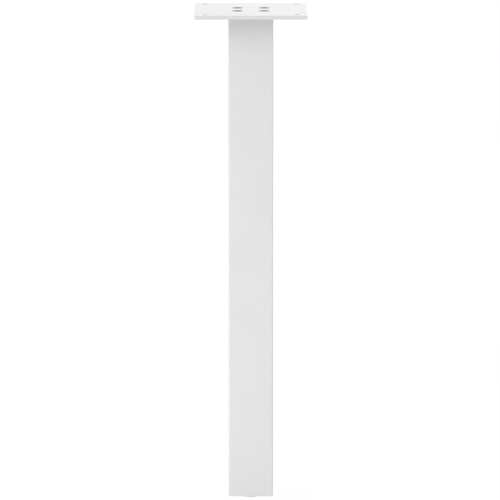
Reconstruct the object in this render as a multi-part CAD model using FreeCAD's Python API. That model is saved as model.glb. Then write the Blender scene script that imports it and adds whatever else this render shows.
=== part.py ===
import FreeCAD, Part
import math
import os

# Square steel table leg with a screwed-on mounting plate and a levelling foot.
# Millimetres. The origin is the centre of the plate's top face, and the leg hangs below it along -Z.

# Mounting plate
plate_width = 100.0
plate_thickness = 3.5
plate_corner_radius = 0.8
plate_edge_radius = 0.3
corner_hole_inset = 9.0
corner_hole_diameter = 5.3
hole_bevel = 0.25

# Countersunk screws that hold the plate to the leg
screw_inset = 8.0
screw_diameter = 5.0
screw_length = 8.0
screw_head_diameter = 9.0
screw_head_land = 0.3
screw_head_depth = 0.2
screw_socket_width = 3.0
screw_socket_depth = 1.8
screw_tip_chamfer = 0.5
screw_clearance = 0.05

# Square tube
tube_width = 40.0
tube_wall = 1.2
tube_inner_radius = 0.5
tube_length = 434.5

# Steel inserts welded into the two ends of the tube
top_nut_plate_thickness = 5.0
foot_nut_plate_thickness = 4.0
weld_size = 2.2
weld_length = 16.0
weld_bulge = 0.35

# Weld nut above the lower insert
weld_nut_width = 13.0
weld_nut_height = 6.5
nut_bevel_angle = 30.0

# Threaded stud with a hexagonal collar and a round head that turns in the foot's base
stud_diameter = 8.0
stud_length = 25.0
stud_tip_chamfer = 1.0
thread_clearance = 0.05
collar_width = 13.0
collar_height = 4.0
stud_neck_diameter = 6.0
stud_head_diameter = 11.0
stud_head_height = 1.8

# Round moulded base of the foot
foot_diameter = 24.0
foot_height = 6.0
foot_show = 2.2
foot_floor = 1.8
foot_bottom_bevel = 0.7
foot_top_bevel = 1.3
swivel_clearance = 0.08
head_side_gap = 0.3
head_top_gap = 0.2
collar_gap = 0.3

# Levels along the leg
tube_top = -plate_thickness
tube_bottom = tube_top - tube_length
foot_bottom = tube_bottom - foot_show
foot_top = foot_bottom + foot_height
collar_bottom = foot_top + collar_gap
collar_top = collar_bottom + collar_height
nut_plate_top = collar_top + foot_nut_plate_thickness

# Sizes that follow from the ones above
corner_hole_spacing = plate_width - 2 * corner_hole_inset
screw_spacing = tube_width - 2 * screw_inset
tube_inner_width = tube_width - 2 * tube_wall
tube_outer_radius = tube_inner_radius + tube_wall
insert_corner_cut = 2 * tube_inner_radius
stud_bore_radius = stud_diameter / 2 + thread_clearance
UP = FreeCAD.Vector(0, 0, 1)

# Lengths closer than this are the same
tolerance = 1e-6


def square_of_points(spacing):
    """The four corners of a square about the leg's axis, as x and y."""
    half = spacing / 2
    return [(x * half, y * half) for x, y in ((-1, -1), (1, -1), (1, 1), (-1, 1))]


def upright_edges(solid):
    """The edges of a block that run along Z."""
    found = []
    for edge in solid.Edges:
        start, end = (vertex.Point for vertex in edge.Vertexes)
        if abs(start.x - end.x) + abs(start.y - end.y) < tolerance:
            found.append(edge)
    return found


def level_edges(solid):
    """The edges of a block that lie in its top and bottom faces."""
    return [e for e in solid.Edges if e.BoundBox.ZLength < tolerance]


def round_rims(solid, radius):
    """The whole circles of one radius among a solid's edges."""
    return [e for e in solid.Edges if e.Closed and abs(getattr(e.Curve, "Radius", 0) - radius) < tolerance]


def square_block(width, height, bottom):
    """A square block about the leg's axis."""
    return Part.makeBox(width, width, height, FreeCAD.Vector(-width / 2, -width / 2, bottom))


def rounded_block(width, height, bottom, radius):
    """A square block with rounded upright edges."""
    block = square_block(width, height, bottom)
    return block.makeFillet(radius, upright_edges(block))


def cylinder(radius, height, bottom, x=0.0, y=0.0):
    """An upright cylinder."""
    return Part.makeCylinder(radius, height, FreeCAD.Vector(x, y, bottom), UP)


def hexagon_prism(width_across_flats, height, bottom):
    """An upright hexagonal prism, given by its width across flats."""
    corner = width_across_flats / math.sqrt(3)
    points = [
        FreeCAD.Vector(corner * math.cos(math.radians(a)), corner * math.sin(math.radians(a)), bottom)
        for a in range(0, 361, 60)
    ]
    return Part.Face(Part.makePolygon(points)).extrude(UP * height)


def turned(profile):
    """A solid turned about the leg's axis from a closed outline of (radius, level) points."""
    points = [FreeCAD.Vector(r, 0, z) for r, z in profile]
    outline = Part.Face(Part.makePolygon(points + points[:1]))
    return outline.revolve(FreeCAD.Vector(0, 0, 0), UP, 360)


def screw_space():
    """The countersunk hole that a screw needs, from the plate's top face through the top insert."""
    mouth = screw_head_diameter / 2 + screw_clearance + screw_head_depth + screw_head_land
    shank = screw_diameter / 2 + screw_clearance
    bottom = tube_top - top_nut_plate_thickness
    return turned([(0, 0), (mouth, 0), (shank, shank - mouth), (shank, bottom), (0, bottom)])


def at_screws(shape):
    """A copy of a shape at each of the four screws."""
    return [shape.translated(FreeCAD.Vector(x, y, 0)) for x, y in square_of_points(screw_spacing)]


def mounting_plate():
    """Flat plate with four corner holes for the table top's screws and four countersunk holes."""
    plate = rounded_block(plate_width, plate_thickness, -plate_thickness, plate_corner_radius)
    plate = plate.makeFillet(plate_edge_radius, level_edges(plate))
    hole = corner_hole_diameter / 2
    holes = [
        cylinder(hole, plate_thickness, -plate_thickness, x, y) for x, y in square_of_points(corner_hole_spacing)
    ]
    plate = plate.cut(holes)
    return plate.makeChamfer(hole_bevel, round_rims(plate, hole)).cut(at_screws(screw_space()))


def plate_screw():
    """Countersunk screw with a hexagon socket."""
    shank = screw_diameter / 2
    head = screw_head_diameter / 2
    head_top = -screw_head_depth
    cone_top = head_top - screw_head_land
    tip = head_top - screw_length
    screw = turned(
        [
            (0, head_top),
            (head, head_top),
            (head, cone_top),
            (shank, cone_top - (head - shank)),
            (shank, tip + screw_tip_chamfer),
            (shank - screw_tip_chamfer, tip),
            (0, tip),
        ]
    )
    socket_floor = head_top - screw_socket_depth
    socket = hexagon_prism(screw_socket_width, screw_socket_depth, socket_floor)
    return screw.cut(socket)


def leg_tube():
    """Square tube with rounded corners, cut square at both ends."""
    outside = rounded_block(tube_width, tube_length, tube_bottom, tube_outer_radius)
    inside = rounded_block(tube_inner_width, tube_length, tube_bottom, tube_inner_radius)
    return outside.cut(inside)


def insert_block(height, bottom):
    """Square insert that fills the tube from wall to wall, with its corners cut clear of the bends."""
    block = square_block(tube_inner_width, height, bottom)
    return block.makeChamfer(insert_corner_cut, upright_edges(block))


def top_nut_plate():
    """Insert flush with the tube's top end, with a threaded hole under each screw."""
    block = insert_block(top_nut_plate_thickness, tube_top - top_nut_plate_thickness)
    return block.cut(at_screws(screw_space()))


def weld_bead():
    """Fillet weld between the lower insert and one wall of the tube, with a bulging face."""
    wall = tube_inner_width / 2
    on_wall = FreeCAD.Vector(wall, 0, collar_top - weld_size)
    on_plate = FreeCAD.Vector(wall - weld_size, 0, collar_top)
    corner = FreeCAD.Vector(wall, 0, collar_top)
    outward = FreeCAD.Vector(-1, 0, -1).normalize()
    crown = (on_wall + on_plate) * 0.5 + outward * weld_bulge
    section = Part.Face(
        Part.Wire(
            [
                Part.LineSegment(on_plate, corner).toShape(),
                Part.LineSegment(corner, on_wall).toShape(),
                Part.Arc(on_wall, crown, on_plate).toShape(),
            ]
        )
    )
    bead = section.extrude(FreeCAD.Vector(0, weld_length, 0))
    return bead.translated(FreeCAD.Vector(0, -weld_length / 2, 0))


def foot_nut_plate():
    """Lower insert with a hole for the stud, welded to each wall of the tube from below."""
    block = insert_block(foot_nut_plate_thickness, collar_top)
    bead = weld_bead()
    beads = [bead.rotated(FreeCAD.Vector(0, 0, 0), UP, turn) for turn in (0, 90, 180, 270)]
    hole = cylinder(stud_bore_radius, foot_nut_plate_thickness, collar_top)
    return block.fuse(beads).cut(hole).removeSplitter()


def weld_nut():
    """Hexagon nut on the lower insert, with its upper corners turned off."""
    nut = hexagon_prism(weld_nut_width, weld_nut_height, nut_plate_top)
    flat = weld_nut_width / 2
    corner = weld_nut_width / math.sqrt(3)
    drop = (corner - flat) * math.tan(math.radians(nut_bevel_angle))
    top = nut_plate_top + weld_nut_height
    envelope = turned([(0, nut_plate_top), (corner, nut_plate_top), (corner, top - drop), (flat, top), (0, top)])
    return nut.common(envelope).cut(cylinder(stud_bore_radius, weld_nut_height, nut_plate_top))


def foot_stud():
    """Threaded stud, its collar against the lower insert and its round head inside the base."""
    rod = stud_diameter / 2
    neck = stud_neck_diameter / 2
    head = stud_head_diameter / 2
    head_bottom = foot_bottom + foot_floor
    head_top = head_bottom + stud_head_height
    tip = collar_top + stud_length
    shaft = turned(
        [
            (0, head_bottom),
            (head, head_bottom),
            (head, head_top),
            (neck, head_top),
            (neck, collar_top),
            (rod, collar_top),
            (rod, tip - stud_tip_chamfer),
            (rod - stud_tip_chamfer, tip),
            (0, tip),
        ]
    )
    return shaft.fuse(hexagon_prism(collar_width, collar_height, collar_bottom)).removeSplitter()


def foot_base():
    """Round base moulded over the stud's head, with a bevelled rim above and below."""
    side = foot_diameter / 2
    neck = stud_neck_diameter / 2 + swivel_clearance
    head = stud_head_diameter / 2 + head_side_gap
    space_bottom = foot_bottom + foot_floor
    space_top = space_bottom + stud_head_height + head_top_gap
    return turned(
        [
            (0, foot_bottom),
            (side - foot_bottom_bevel, foot_bottom),
            (side, foot_bottom + foot_bottom_bevel),
            (side, foot_top - foot_top_bevel),
            (side - foot_top_bevel, foot_top),
            (neck, foot_top),
            (neck, space_top),
            (head, space_top),
            (head, space_bottom),
            (0, space_bottom),
        ]
    )


def export(name, shape):
    """Writes one piece to its own STEP file, after testing that it is one sound solid."""
    if not shape.isValid() or len(shape.Solids) != 1:
        raise ValueError(f"{name} isn't one valid solid")
    shape.Solids[0].exportStep(f"parts/{name}.step")


os.makedirs("parts", exist_ok=True)
export("mounting_plate", mounting_plate())
for number, screw in enumerate(at_screws(plate_screw()), start=1):
    export(f"plate_screw_{number}", screw)
export("leg_tube", leg_tube())
export("top_nut_plate", top_nut_plate())
export("foot_nut_plate", foot_nut_plate())
export("weld_nut", weld_nut())
export("foot_stud", foot_stud())
export("foot_base", foot_base())
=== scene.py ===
import math

import bpy
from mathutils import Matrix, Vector


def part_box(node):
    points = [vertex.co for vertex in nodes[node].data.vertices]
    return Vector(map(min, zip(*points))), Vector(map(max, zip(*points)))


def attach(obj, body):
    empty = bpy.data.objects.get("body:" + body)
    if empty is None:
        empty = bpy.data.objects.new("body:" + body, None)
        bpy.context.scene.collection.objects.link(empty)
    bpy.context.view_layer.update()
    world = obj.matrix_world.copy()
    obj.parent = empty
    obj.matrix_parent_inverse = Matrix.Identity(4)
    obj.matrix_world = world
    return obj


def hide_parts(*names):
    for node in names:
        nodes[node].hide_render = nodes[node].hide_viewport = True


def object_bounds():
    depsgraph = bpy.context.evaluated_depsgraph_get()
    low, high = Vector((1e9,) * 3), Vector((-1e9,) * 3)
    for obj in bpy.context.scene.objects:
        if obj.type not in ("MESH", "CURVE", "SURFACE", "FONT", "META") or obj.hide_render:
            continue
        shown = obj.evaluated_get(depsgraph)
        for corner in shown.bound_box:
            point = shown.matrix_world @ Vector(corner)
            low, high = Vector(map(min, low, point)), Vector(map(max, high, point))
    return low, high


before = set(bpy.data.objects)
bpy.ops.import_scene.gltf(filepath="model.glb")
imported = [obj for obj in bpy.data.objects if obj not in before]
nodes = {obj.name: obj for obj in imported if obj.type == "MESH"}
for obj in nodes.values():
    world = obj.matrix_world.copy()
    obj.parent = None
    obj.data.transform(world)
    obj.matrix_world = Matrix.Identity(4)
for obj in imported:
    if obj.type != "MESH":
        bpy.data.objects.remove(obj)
cad_low, cad_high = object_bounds()

# The camera: where it stands from the centre of the plate's top face, how far it looks down,
# and its focal length in pixels of a picture 500 pixels wide
CAMERA_DISTANCE = 5.2
CAMERA_ELEVATION = math.radians(6.4819)
CAMERA_TILT = math.radians(8.8456)
CAMERA_SIDE = -0.00075
CAMERA_REACH = (0.1, 100.0)
SENSOR_WIDTH = 36.0
PICTURE_WIDTH = 500
FOCAL_PIXELS = 5830.94

# The floor, clear of the foot when it is screwed right out: what it throws back on the object is grey,
# and what is seen of it is white, made of a dark ground for the shadow and a glow that grows outward
FOOT_TRAVEL = 0.010
FLOOR_GAP = 0.0005
FLOOR_SIZE = 60.0
FLOOR_COLOUR = 0.62
FLOOR_SHADE = 0.20
GLOW_NEAR = 0.815
GLOW_FAR = 0.882
GLOW_REACH = (0.3, 4.0)

# The soft light from all round, and each lamp's place, the point it faces, its size and its power
AMBIENT = 0.69
LAMPS = {
    "key": ((-1.3, -1.9, 1.35), (0.0, 0.0, -0.15), (1.5, 1.5), 15.0),
    "strip": ((-0.34, -0.20, -0.33), (0.0, 0.0, -0.33), (0.12, 0.44), 0.38),
    "back": ((0.9, 1.9, 0.9), (0.0, 0.0, -0.20), (1.1, 1.1), 11.2),
    "overhead": ((0.2, 0.3, 1.7), (0.0, 0.0, 0.0), (1.2, 1.2), 2.4),
    "fill": ((1.8, -1.1, 0.5), (0.0, 0.0, -0.20), (1.1, 1.1), 5.2),
}

MM = 0.001

# Where painted shade goes on the plate's coat: from its axes to the corner holes and to the screws, and
# their radii
HOLE_PLACE = 41.0 * MM
HOLE_RADIUS = 2.65 * MM
SCREW_PLACE = 12.0 * MM
SINK_RADIUS = 5.05 * MM

# Threads: how far their crests stay inside the solid's radius, the rows of points in one pitch, the
# shares of half a pitch that are root and flank, and how close to an end a level counts as the end
THREAD_CLEAR = 0.02 * MM
THREAD_ROWS = 12
THREAD_ROOT = 0.14
THREAD_FLANK = 0.72
THREAD_CLOSE = 0.0001 * MM

# The M8 stud and its collar, neck and round head
STUD_RADIUS = 4.0 * MM
STUD_PITCH = 1.25 * MM
STUD_THREAD_DEPTH = 0.72 * MM
STUD_CHAMFER = 1.0 * MM
STUD_HEAD_RADIUS = 5.5 * MM
STUD_HEAD_HEIGHT = 1.8 * MM
STUD_NECK_RADIUS = 3.0 * MM
COLLAR_WIDTH = 13.0 * MM
COLLAR_HEIGHT = 4.0 * MM
COLLAR_GAP = 0.3 * MM
STUD_SEGMENTS = 72

# The M5 plate screws, and how far each was turned, in degrees
SCREW_RADIUS = 2.5 * MM
SCREW_PITCH = 0.8 * MM
SCREW_THREAD_DEPTH = 0.46 * MM
SCREW_CHAMFER = 0.5 * MM
SCREW_LAND = 0.3 * MM
SOCKET_WIDTH = 3.0 * MM
SOCKET_DEPTH = 1.8 * MM
DRILL_RADIUS = 1.35 * MM
SCREW_TURNS = {1: 11.0, 2: 47.0, 3: 28.0, 4: 5.0}
SCREW_SEGMENTS = 48

# The lower insert and the weld along each of its sides
INSERT_THICKNESS = 4.0 * MM
INSERT_CORNER_CUT = 1.0 * MM
INSERT_HOLE_RADIUS = 4.05 * MM
INSERT_EASE = 0.2 * MM
WELD_SIZE = 2.2 * MM
WELD_LENGTH = 16.0 * MM
WELD_RIPPLE = 1.3 * MM
WELD_CROWN = 0.17 * MM
WELD_RIPPLE_HEIGHT = 0.16 * MM
WELD_STEPS = 128
WELD_ACROSS = 10

# The foot's base: the roundings of its rim, and the space in it for the stud's neck and head
BASE_UNDER = 0.7 * MM
BASE_OVER = 1.3 * MM
BASE_FLOOR = 1.8 * MM
BASE_NECK_RADIUS = 3.08 * MM
BASE_NECK_BEVEL = 0.35 * MM
BASE_HEAD_RADIUS = 5.8 * MM
BASE_HEAD_HEIGHT = 2.0 * MM
BASE_SEGMENTS = 128


# Meshes


def ring(radius, level, segments):
    """A circle of points about the Z axis."""
    turns = (2 * math.pi * j / segments for j in range(segments))
    return [(radius * math.cos(a), radius * math.sin(a), level) for a in turns]


def hexagon_ring(width, level, segments):
    """A hexagon of points about the Z axis, given by its width across flats."""
    points = []
    for j in range(segments):
        angle = 2 * math.pi * j / segments
        from_flat = angle % (math.pi / 3) - math.pi / 6
        radius = width / 2 / math.cos(from_flat)
        points.append((radius * math.cos(angle), radius * math.sin(angle), level))
    return points


def square_ring(half, cut, level, angles):
    """A square of points about the Z axis, with its corners cut off."""
    points = []
    for angle in angles:
        c, s = math.cos(angle), math.sin(angle)
        radius = min(half / max(abs(c), abs(s)), (2 * half - cut) / (abs(c) + abs(s)))
        points.append((radius * c, radius * s, level))
    return points


class Shell:
    """The points and faces of a closed mesh, made of rings joined one to the next."""

    def __init__(self):
        self.points = []
        self.faces = []

    def add_ring(self, points):
        """Adds a loop of points and gives their numbers."""
        start = len(self.points)
        self.points.extend(points)
        return list(range(start, start + len(points)))

    def join(self, low, high):
        """Faces between two loops that run anticlockwise seen from the high one."""
        count = len(low)
        for j in range(count):
            k = (j + 1) % count
            self.faces.append((low[j], low[k], high[k], high[j]))

    def cap(self, loop, level, upward):
        """Closes a loop with a fan about a point on the Z axis."""
        self.points.append((0.0, 0.0, level))
        centre = len(self.points) - 1
        count = len(loop)
        for j in range(count):
            k = (j + 1) % count
            self.faces.append((loop[j], loop[k], centre) if upward else (loop[k], loop[j], centre))

    def close(self, loop, forward):
        """Closes a flat loop with one face."""
        self.faces.append(tuple(loop) if forward else tuple(reversed(loop)))

    def to_object(self, name, sharp_angle, place=(0.0, 0.0), turn=0.0):
        """An object with its axis at a place, turned about it by some degrees."""
        c, s = math.cos(math.radians(turn)), math.sin(math.radians(turn))
        points = [(place[0] + c * x - s * y, place[1] + s * x + c * y, z) for x, y, z in self.points]
        mesh = bpy.data.meshes.new(name)
        mesh.from_pydata(points, [], self.faces)
        mesh.validate()
        mesh.update()
        mesh.shade_smooth()
        mesh.set_sharp_from_angle(angle=math.radians(sharp_angle))
        made = bpy.data.objects.new(name, mesh)
        bpy.context.scene.collection.objects.link(made)
        return made


def arc(centre, radius, start, end, steps):
    """Points of (radius, level) along an arc, given by its centre and its angles in degrees."""
    found = []
    for i in range(steps + 1):
        angle = math.radians(start + (end - start) * i / steps)
        found.append((centre[0] + radius * math.cos(angle), centre[1] + radius * math.sin(angle)))
    return found


def lathe(shell, outline, segments):
    """Rings through an outline of (radius, level) points, from the first to the last."""
    loops = [shell.add_ring(ring(r, z, segments)) for r, z in outline]
    for low, high in zip(loops, loops[1:]):
        shell.join(low, high)
    return loops[0], loops[-1]


# Materials


class Tree:
    """A node tree under construction."""

    def __init__(self, tree):
        self.tree = tree
        tree.nodes.clear()

    def add(self, kind, inputs=None, **settings):
        """A new node with its settings, whose inputs are numbers or other nodes' outputs."""
        node = self.tree.nodes.new(kind)
        for name, value in settings.items():
            setattr(node, name, value)
        for name, value in (inputs or {}).items():
            socket = node.inputs[name]
            if isinstance(value, bpy.types.NodeSocket):
                self.tree.links.new(value, socket)
            else:
                socket.default_value = value
        return node

    def noise(self, where, scale, detail=2.0, roughness=0.5):
        """Cloudy noise, as a factor about 0.5."""
        made = self.add(
            "ShaderNodeTexNoise",
            {"Vector": where, "Scale": scale, "Detail": detail, "Roughness": roughness},
        )
        return made.outputs["Fac"]

    def ramp(self, factor, stops):
        """A colour that follows a factor through stops of (position, colour)."""
        made = self.add("ShaderNodeValToRGB", {"Fac": factor})
        elements = made.color_ramp.elements
        for element, (position, colour) in zip(elements, (stops[0], stops[-1])):
            element.position = position
            element.color = (*colour, 1)
        for position, colour in stops[1:-1]:
            elements.new(position).color = (*colour, 1)
        return made.outputs["Color"]

    def spread(self, factor, low, high, start=0.3, end=0.7):
        """A number that goes from low to high as a factor goes from start to end."""
        made = self.add(
            "ShaderNodeMapRange",
            {"Value": factor, "From Min": start, "From Max": end, "To Min": low, "To Max": high},
        )
        return made.outputs["Result"]

    def bump(self, height, distance, normal=None):
        """A normal tilted by a height field whose full height is a distance."""
        inputs = {"Height": height, "Distance": distance, "Strength": 1.0}
        if normal:
            inputs["Normal"] = normal
        return self.add("ShaderNodeBump", inputs).outputs["Normal"]


def material(name):
    """A new material and its tree."""
    made = bpy.data.materials.new(name)
    made.use_nodes = True
    return made, Tree(made.node_tree)


def output(tree, shader):
    """Leads a shader to the material's surface."""
    tree.add("ShaderNodeOutputMaterial", {"Surface": shader.outputs[0]})


def grey(value):
    """A grey colour."""
    return (value, value, value)


def near(tree, where, place, axes, inner, outer):
    """1 near a place in each quarter of the plate, falling to 0 from one radius to another.

    The distance counts only along the axes that are 1.
    """
    apart = tree.add("ShaderNodeVectorMath", {0: where}, operation="ABSOLUTE").outputs["Vector"]
    centre = (place, place, 0.0)
    offset = tree.add("ShaderNodeVectorMath", {0: apart, 1: centre}, operation="SUBTRACT").outputs["Vector"]
    kept = tree.add("ShaderNodeVectorMath", {0: offset, 1: axes}, operation="MULTIPLY").outputs["Vector"]
    away = tree.add("ShaderNodeVectorMath", {0: kept}, operation="LENGTH").outputs["Value"]
    return tree.spread(away, 1.0, 0.0, inner, outer)


def at_cut_edge(tree, where):
    """1 on the plate's cut edge all round it, falling to 0 on its two faces."""
    apart = tree.add("ShaderNodeVectorMath", {0: where}, operation="ABSOLUTE").outputs["Vector"]
    sides = tree.add("ShaderNodeSeparateXYZ", {"Vector": apart}).outputs
    out = tree.add("ShaderNodeMath", {0: sides["X"], 1: sides["Y"]}, operation="MAXIMUM").outputs[0]
    return tree.spread(out, 0.0, 1.0, cad_high.x - 0.2 * MM, cad_high.x - 0.05 * MM)


def powder_coat():
    """White satin powder coat: orange peel of 2 mm, a fine grain, and faint clouds of shade and gloss.

    Painted shade makes the coat greyer inside the corner holes, a little darker on the plate's cut edge,
    and dark on the edge of each countersink round the heads of the screws.
    """
    made, tree = material("white_powder_coat")
    where = tree.add("ShaderNodeTexCoord").outputs["Object"]
    full = tree.ramp(tree.noise(where, 22.0, 3.0), [(0.35, grey(0.850)), (0.65, grey(0.866))])
    # Painted shade inside the corner holes: a greyer coat where the holes' walls lie in shade
    hole_shade = tree.ramp(tree.noise(where, 700.0, 3.0), [(0.35, grey(0.62)), (0.65, grey(0.74))])
    # Painted shade on the plate's cut edge: a slightly darker coat there
    edge_shade = tree.ramp(tree.noise(where, 300.0, 3.0), [(0.35, grey(0.81)), (0.65, grey(0.85))])
    # Painted shade in the countersinks: a dark ring on each one's edge round the screw head
    sink_shade = tree.ramp(tree.noise(where, 1100.0, 3.0), [(0.35, grey(0.46)), (0.65, grey(0.60))])
    # Masks for the painted shade in the corner holes and in the countersinks
    holes = near(tree, where, HOLE_PLACE, (1, 1, 0), HOLE_RADIUS + 0.1 * MM, HOLE_RADIUS + 0.3 * MM)
    shaded_sinks = near(tree, where, SCREW_PLACE, (1, 1, 1), SINK_RADIUS, SINK_RADIUS + 0.1 * MM)
    # The painted shade of the cut edge, the holes and the countersinks goes over the coat's own tone
    colour = full
    for share, layer in ((at_cut_edge(tree, where), edge_shade), (holes, hole_shade), (shaded_sinks, sink_shade)):
        colour = tree.add("ShaderNodeMix", {0: share, 6: colour, 7: layer}, data_type="RGBA").outputs[2]
    roughness = tree.spread(tree.noise(where, 90.0, 3.0), 0.40, 0.50)
    peel = tree.bump(tree.noise(where, 480.0, 1.0), 0.11 * MM)
    grain = tree.bump(tree.noise(where, 2400.0, 2.0), 0.012 * MM, normal=peel)
    shader = tree.add(
        "ShaderNodeBsdfPrincipled",
        {"Base Color": colour, "Roughness": roughness, "Normal": grain, "IOR": 1.5},
    )
    output(tree, shader)
    return made


def black_oxide():
    """Blackened screw steel: dull, a little uneven, with fine turning marks."""
    made, tree = material("black_oxide_steel")
    where = tree.add("ShaderNodeTexCoord").outputs["Object"]
    colour = tree.ramp(
        tree.noise(where, 900.0, 4.0),
        [(0.3, (0.070, 0.070, 0.073)), (0.7, (0.125, 0.124, 0.124))],
    )
    roughness = tree.spread(tree.noise(where, 1500.0, 3.0), 0.44, 0.62)
    inside = tree.add("ShaderNodeTexCoord").outputs["Generated"]
    centred = tree.add("ShaderNodeVectorMath", {0: inside, 1: (0.5, 0.5, 0.5)}, operation="SUBTRACT")
    rings = tree.add(
        "ShaderNodeTexWave",
        {"Vector": centred.outputs["Vector"], "Scale": 22.0, "Distortion": 0.6, "Detail": 2.0},
        wave_type="RINGS",
        rings_direction="Z",
    )
    turned = tree.bump(rings.outputs["Fac"], 0.008 * MM)
    pits = tree.bump(tree.noise(where, 3500.0, 3.0), 0.012 * MM, normal=turned)
    shader = tree.add(
        "ShaderNodeBsdfPrincipled",
        {
            "Base Color": colour,
            "Metallic": 1.0,
            "Roughness": roughness,
            "Normal": pits,
            "Specular Tint": (*grey(1.0), 1),
        },
    )
    output(tree, shader)
    return made


def zinc_plate():
    """Bright zinc on steel, with faint clouds from the bath and a fine drawn grain along the stud."""
    made, tree = material("zinc_plated_steel")
    where = tree.add("ShaderNodeTexCoord").outputs["Object"]
    colour = tree.ramp(
        tree.noise(where, 260.0, 4.0),
        [(0.3, (0.60, 0.61, 0.64)), (0.7, (0.74, 0.745, 0.76))],
    )
    roughness = tree.spread(tree.noise(where, 700.0, 3.0), 0.24, 0.38)
    along = tree.add("ShaderNodeMapping", {"Vector": where, "Scale": (6.0, 6.0, 0.6)}).outputs["Vector"]
    grain = tree.bump(tree.noise(along, 900.0, 3.0), 0.006 * MM)
    shader = tree.add(
        "ShaderNodeBsdfPrincipled",
        {"Base Color": colour, "Metallic": 1.0, "Roughness": roughness, "Normal": grain},
    )
    output(tree, shader)
    return made


def plain_steel():
    """Cut steel without a finish: darker scale over a brushed ground."""
    made, tree = material("plain_steel")
    where = tree.add("ShaderNodeTexCoord").outputs["Object"]
    colour = tree.ramp(
        tree.noise(where, 180.0, 5.0, 0.6),
        [(0.3, (0.30, 0.30, 0.31)), (0.5, (0.44, 0.44, 0.45)), (0.7, (0.55, 0.55, 0.56))],
    )
    roughness = tree.spread(tree.noise(where, 400.0, 4.0), 0.34, 0.58)
    brushed = tree.add("ShaderNodeMapping", {"Vector": where, "Scale": (1.0, 14.0, 1.0)}).outputs["Vector"]
    grain = tree.bump(tree.noise(brushed, 500.0, 3.0), 0.010 * MM)
    shader = tree.add(
        "ShaderNodeBsdfPrincipled",
        {"Base Color": colour, "Metallic": 1.0, "Roughness": roughness, "Normal": grain},
    )
    output(tree, shader)
    return made


def moulded_plastic():
    """Off-white moulded plastic with the even, finely pitted skin of an eroded mould."""
    made, tree = material("foot_plastic")
    where = tree.add("ShaderNodeTexCoord").outputs["Object"]
    colour = tree.ramp(tree.noise(where, 120.0, 3.0), [(0.35, grey(0.765)), (0.65, grey(0.795))])
    roughness = tree.spread(tree.noise(where, 600.0, 2.0), 0.46, 0.58)
    skin = tree.bump(tree.noise(where, 2800.0, 3.0, 0.6), 0.014 * MM)
    shader = tree.add(
        "ShaderNodeBsdfPrincipled",
        {"Base Color": colour, "Roughness": roughness, "Normal": skin, "IOR": 1.49},
    )
    output(tree, shader)
    return made


def dress(piece, finish):
    """Gives every part of an object one material."""
    if not piece.material_slots:
        piece.data.materials.append(finish)
    for slot in piece.material_slots:
        slot.material = finish


# The camera


def add_camera():
    """The camera, in front of the leg and a little above its plate."""
    data = bpy.data.cameras.new("camera")
    data.sensor_width = SENSOR_WIDTH
    data.lens = FOCAL_PIXELS / PICTURE_WIDTH * SENSOR_WIDTH
    data.clip_start, data.clip_end = CAMERA_REACH
    camera = bpy.data.objects.new("camera", data)
    camera.location = (
        CAMERA_SIDE,
        -CAMERA_DISTANCE * math.cos(CAMERA_ELEVATION),
        CAMERA_DISTANCE * math.sin(CAMERA_ELEVATION),
    )
    camera.rotation_euler = (math.pi / 2 - CAMERA_TILT, 0.0, 0.0)
    bpy.context.scene.collection.objects.link(camera)
    bpy.context.scene.camera = camera


# The surroundings


def direct_ray(tree):
    """1 on a ray from the camera, or one that a gloss or glass sends on, and 0 on a ray of soft light."""
    path = tree.add("ShaderNodeLightPath")
    seen = path.outputs["Is Camera Ray"]
    for kind in ("Is Glossy Ray", "Is Transmission Ray"):
        seen = tree.add(
            "ShaderNodeMath", {0: seen, 1: path.outputs[kind]}, operation="MAXIMUM"
        ).outputs[0]
    return seen


def add_world():
    """Even soft light from all round, which is white where it is seen."""
    world = bpy.data.worlds.new("studio")
    world.use_nodes = True
    bpy.context.scene.world = world
    tree = Tree(world.node_tree)
    seen = direct_ray(tree)
    soft = tree.add("ShaderNodeBackground", {"Color": (1, 1, 1, 1), "Strength": AMBIENT})
    white = tree.add("ShaderNodeBackground", {"Color": (1, 1, 1, 1), "Strength": 1.0})
    mixed = tree.add("ShaderNodeMixShader", {0: seen, 1: soft.outputs[0], 2: white.outputs[0]})
    tree.add("ShaderNodeOutputWorld", {"Surface": mixed.outputs[0]})


def add_floor():
    """White paper under the leg, which takes the leg's soft shadow."""
    level = cad_low.z - FOOT_TRAVEL - FLOOR_GAP
    half = FLOOR_SIZE / 2
    mesh = bpy.data.meshes.new("floor")
    mesh.from_pydata(
        [(-half, -half, level), (half, -half, level), (half, half, level), (-half, half, level)],
        [],
        [(0, 1, 2, 3)],
    )
    floor = bpy.data.objects.new("floor", mesh)
    bpy.context.scene.collection.objects.link(floor)
    made, tree = material("floor_paper")
    seen = direct_ray(tree)
    paper = tree.add("ShaderNodeBsdfDiffuse", {"Color": (*grey(FLOOR_COLOUR), 1)})
    shaded = tree.add("ShaderNodeBsdfDiffuse", {"Color": (*grey(FLOOR_SHADE), 1)})
    where = tree.add("ShaderNodeTexCoord").outputs["Object"]
    away = tree.add("ShaderNodeVectorMath", {0: where}, operation="LENGTH").outputs["Value"]
    glow = tree.spread(away, GLOW_NEAR, GLOW_FAR, *GLOW_REACH)
    light = tree.add("ShaderNodeEmission", {"Color": (1, 1, 1, 1), "Strength": glow})
    white = tree.add("ShaderNodeAddShader", {0: shaded.outputs[0], 1: light.outputs[0]})
    output(tree, tree.add("ShaderNodeMixShader", {0: seen, 1: paper.outputs[0], 2: white.outputs[0]}))
    dress(floor, made)


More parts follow.
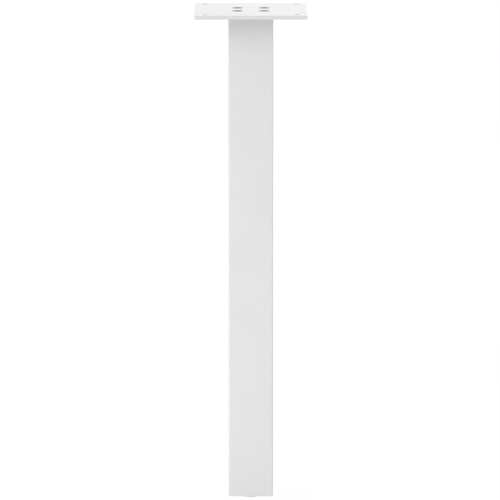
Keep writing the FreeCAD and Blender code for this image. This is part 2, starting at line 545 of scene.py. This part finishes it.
def add_lamp(name, place, target, size, power):
    """A soft rectangular lamp that faces a point."""
    data = bpy.data.lights.new(name, "AREA")
    data.shape = "RECTANGLE"
    data.size, data.size_y = size
    data.energy = power
    lamp = bpy.data.objects.new(name, data)
    lamp.location = place
    lamp.rotation_euler = (Vector(target) - Vector(place)).to_track_quat("-Z", "Y").to_euler()
    lamp.visible_camera = False
    bpy.context.scene.collection.objects.link(lamp)


# The pieces made here


def thread_profile(turn, major, minor):
    """The radius of a thread with a flat root and crest at a share of its pitch."""
    height = abs((turn % 1.0) - 0.5) * 2
    rise = min(1.0, max(0.0, (height - THREAD_ROOT) / THREAD_FLANK))
    return minor + (major - minor) * rise


def add_thread(shell, low_loop, high_loop, start, end, pitch, major, minor, shape):
    """A right-handed thread between two loops. The shape gives its growth and its limit at a level."""
    segments = len(low_loop)
    grid = {}

    def vertex(row, j):
        """The point in a row and a column, or the one of the end loop that it would pass."""
        if j == segments:
            row, j = row + THREAD_ROWS, 0
        level = start + pitch * (row / THREAD_ROWS + j / segments)
        if level <= start + THREAD_CLOSE:
            return low_loop[j]
        if level >= end - THREAD_CLOSE:
            return high_loop[j]
        if (row, j) not in grid:
            grow, limit = shape(level)
            radius = minor + (thread_profile(row / THREAD_ROWS, major, minor) - minor) * grow
            radius = min(radius, limit)
            angle = 2 * math.pi * j / segments
            shell.points.append((radius * math.cos(angle), radius * math.sin(angle), level))
            grid[row, j] = len(shell.points) - 1
        return grid[row, j]

    rows = math.ceil((end - start) / pitch * THREAD_ROWS) + 1
    for row in range(-THREAD_ROWS - 1, rows):
        for j in range(segments):
            corners = (vertex(row, j), vertex(row, j + 1), vertex(row + 1, j + 1), vertex(row + 1, j))
            unique = tuple(dict.fromkeys(corners))
            if len(unique) > 2:
                shell.faces.append(unique)


def foot_stud():
    """The stud: a right-handed M8 thread, a hexagonal collar, a neck and the round head in the base."""
    low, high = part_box("foot_stud")
    base_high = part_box("foot_base")[1]
    segments = STUD_SEGMENTS
    shell = Shell()
    head_high = low.z + STUD_HEAD_HEIGHT
    soft = 0.25 * MM
    outline = [(STUD_HEAD_RADIUS - soft, low.z), (STUD_HEAD_RADIUS, low.z + soft)]
    outline += [(STUD_HEAD_RADIUS, head_high - soft), (STUD_HEAD_RADIUS - soft, head_high)]
    collar_low = base_high.z + COLLAR_GAP
    collar_high = collar_low + COLLAR_HEIGHT
    outline += [(STUD_NECK_RADIUS, head_high), (STUD_NECK_RADIUS, collar_low)]
    first, last = lathe(shell, outline, segments)
    shell.cap(first, low.z, False)
    collar_face = COLLAR_WIDTH / 2 - 0.2 * MM
    collar_bevel = 0.45 * MM
    major = STUD_RADIUS - THREAD_CLEAR
    minor = major - STUD_THREAD_DEPTH
    runout = 1.5 * STUD_PITCH
    loops = [
        shell.add_ring(ring(collar_face, collar_low, segments)),
        shell.add_ring(hexagon_ring(COLLAR_WIDTH, collar_low + collar_bevel, segments)),
        shell.add_ring(hexagon_ring(COLLAR_WIDTH, collar_high - collar_bevel, segments)),
        shell.add_ring(ring(collar_face, collar_high, segments)),
        shell.add_ring(ring(minor, collar_high, segments)),
    ]
    for a, b in zip([last] + loops, loops):
        shell.join(a, b)
    tip = shell.add_ring(ring(major - STUD_CHAMFER, high.z, segments))

    def shape(level):
        return min(1.0, (level - collar_high) / runout), major - STUD_CHAMFER + (high.z - level)

    add_thread(shell, loops[-1], tip, collar_high, high.z, STUD_PITCH, major, minor, shape)
    shell.cap(tip, high.z, True)
    return shell.to_object("threaded_foot_stud", 40)


def plate_screw(number):
    """A countersunk M5 screw with a round rim, a thread, and a hexagon socket with a drilled floor."""
    low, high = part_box(f"plate_screw_{number}")
    segments = SCREW_SEGMENTS
    shell = Shell()
    head = (high.x - low.x) / 2
    major = SCREW_RADIUS - THREAD_CLEAR
    minor = major - SCREW_THREAD_DEPTH
    runout = 1.2 * SCREW_PITCH
    land_low = high.z - SCREW_LAND
    cone_low = land_low - (head - SCREW_RADIUS)
    neck_step = 0.1 * MM
    tip = shell.add_ring(ring(major - SCREW_CHAMFER, low.z, segments))
    shell.cap(tip, low.z, False)
    neck = shell.add_ring(ring(minor, cone_low - neck_step, segments))

    def shape(level):
        return min(1.0, (cone_low - level) / runout), major - SCREW_CHAMFER + (level - low.z)

    add_thread(shell, tip, neck, low.z, cone_low - neck_step, SCREW_PITCH, major, minor, shape)
    soft = 0.12 * MM
    socket_bevel = 0.2 * MM
    socket_mouth = SOCKET_WIDTH / math.sqrt(3) + 0.8 * socket_bevel
    outline = [(SCREW_RADIUS - neck_step, cone_low), (head - THREAD_CLEAR, land_low)]
    outline += arc((head - soft, high.z - soft), soft, 0, 90, 4)
    outline += [(socket_mouth, high.z)]
    first, last = lathe(shell, outline, segments)
    shell.join(neck, first)
    socket_low = high.z - SOCKET_DEPTH
    drill_step = 0.02 * MM
    drill_depth = 0.4 * MM
    loops = [
        shell.add_ring(hexagon_ring(SOCKET_WIDTH, high.z - socket_bevel, segments)),
        shell.add_ring(hexagon_ring(SOCKET_WIDTH, socket_low, segments)),
        shell.add_ring(ring(DRILL_RADIUS, socket_low - drill_step, segments)),
    ]
    for a, b in zip([last] + loops, loops):
        shell.join(a, b)
    shell.cap(loops[-1], socket_low - drill_depth, True)
    place = ((low.x + high.x) / 2, (low.y + high.y) / 2)
    return shell.to_object(f"countersunk_screw_{number}", 35, place, SCREW_TURNS[number])


def weld_section(wall, level, along):
    """The outline of a fillet weld in the corner of a wall and a plate, at a place along it.

    The weld's ends are round, and its ripples bow towards one end.
    """
    from_end = WELD_LENGTH / 2 - abs(along)
    rounding = 1 - min(1.0, max(0.0, WELD_SIZE - from_end) / WELD_SIZE) ** 2
    share_of_size = max(0.04, math.sqrt(rounding))
    size = WELD_SIZE * share_of_size
    ripple_bow = 0.8 * MM
    slant = 0.7
    points = [(wall, along, level)]
    for k in range(WELD_ACROSS + 1):
        share = k / WELD_ACROSS
        crown = 4 * share * (1 - share)
        ripple = ((along + ripple_bow * crown) / WELD_RIPPLE) % 1.0
        out = slant * crown * share_of_size * (WELD_CROWN + WELD_RIPPLE_HEIGHT * math.sqrt(ripple))
        points.append((wall - size * share - out, along, level - size * (1 - share) - out))
    return points


def weld_bead(shell, wall, level, side):
    """A rippled fillet weld under a plate, along one of the tube's four walls."""
    turn = math.radians(90 * side)
    c, s = math.cos(turn), math.sin(turn)
    loops = []
    for i in range(WELD_STEPS + 1):
        along = WELD_LENGTH * (i / WELD_STEPS - 0.5)
        section = weld_section(wall, level, along)
        loops.append(shell.add_ring([(c * x - s * y, s * x + c * y, z) for x, y, z in section]))
    for a, b in zip(loops, loops[1:]):
        shell.join(a, b)
    shell.close(loops[0], False)
    shell.close(loops[-1], True)


def foot_nut_plate():
    """The lower insert: a plate with eased edges and a hole for the stud, and a weld along each wall."""
    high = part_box("foot_nut_plate")[1]
    half = high.x
    level = high.z - INSERT_THICKNESS
    ease = INSERT_EASE
    hole = INSERT_HOLE_RADIUS
    # A point every 5 degrees, but at a corner the two ends of its cut and not the middle
    corner = math.atan2(half - INSERT_CORNER_CUT, half)
    quarter = [math.radians(a) for a in range(0, 90, 5) if a != 45] + [corner, math.pi / 2 - corner]
    angles = [q * math.pi / 2 + a for q in range(4) for a in sorted(quarter)]
    shell = Shell()
    outside = [(half - ease, level), (half, level + ease), (half, high.z - ease), (half - ease, high.z)]
    inside = [(hole + ease, high.z), (hole, high.z - ease), (hole, level + ease), (hole + ease, level)]
    loops = [shell.add_ring(square_ring(w, INSERT_CORNER_CUT, z, angles)) for w, z in outside]
    loops += [shell.add_ring([(r * math.cos(a), r * math.sin(a), z) for a in angles]) for r, z in inside]
    for a, b in zip(loops, loops[1:] + loops[:1]):
        shell.join(a, b)
    for side in range(4):
        weld_bead(shell, half, level, side)
    return shell.to_object("welded_foot_nut_plate", 35)


def foot_base():
    """The moulded base of the foot, with round edges and the closed space for the stud's head."""
    low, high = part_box("foot_base")
    side = high.x
    neck = BASE_NECK_RADIUS
    head = BASE_HEAD_RADIUS
    space_low = low.z + BASE_FLOOR
    space_high = space_low + BASE_HEAD_HEIGHT
    inner_ring = 0.4 * MM
    outline = [(side - BASE_UNDER - inner_ring, low.z)]
    outline += arc((side - BASE_UNDER, low.z + BASE_UNDER), BASE_UNDER, -90, 0, 8)
    outline += arc((side - BASE_OVER, high.z - BASE_OVER), BASE_OVER, 0, 90, 10)
    outline += [(neck + BASE_NECK_BEVEL, high.z), (neck, high.z - BASE_NECK_BEVEL), (neck, space_high)]
    outline += [(head, space_high), (head, space_low)]
    shell = Shell()
    first, last = lathe(shell, outline, BASE_SEGMENTS)
    shell.cap(first, low.z, False)
    shell.cap(last, space_low, True)
    return shell.to_object("moulded_foot_base", 40)


add_camera()
add_world()
add_floor()
for lamp_name, values in LAMPS.items():
    add_lamp(lamp_name, *values)

coat = powder_coat()
oxide = black_oxide()
zinc = zinc_plate()
steel = plain_steel()
plastic = moulded_plastic()

for name in ("mounting_plate", "leg_tube"):
    dress(nodes[name], coat)
for name in ("top_nut_plate", "weld_nut"):
    dress(nodes[name], steel)

for number in SCREW_TURNS:
    screw = plate_screw(number)
    dress(screw, oxide)
    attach(screw, "leg")
    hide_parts(f"plate_screw_{number}")

insert = foot_nut_plate()
dress(insert, coat)
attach(insert, "leg")
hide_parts("foot_nut_plate")

stud = foot_stud()
dress(stud, zinc)
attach(stud, "stud")
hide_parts("foot_stud")

base = foot_base()
dress(base, plastic)
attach(base, "foot")
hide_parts("foot_base")

bpy.context.scene.view_settings.view_transform = "Standard"
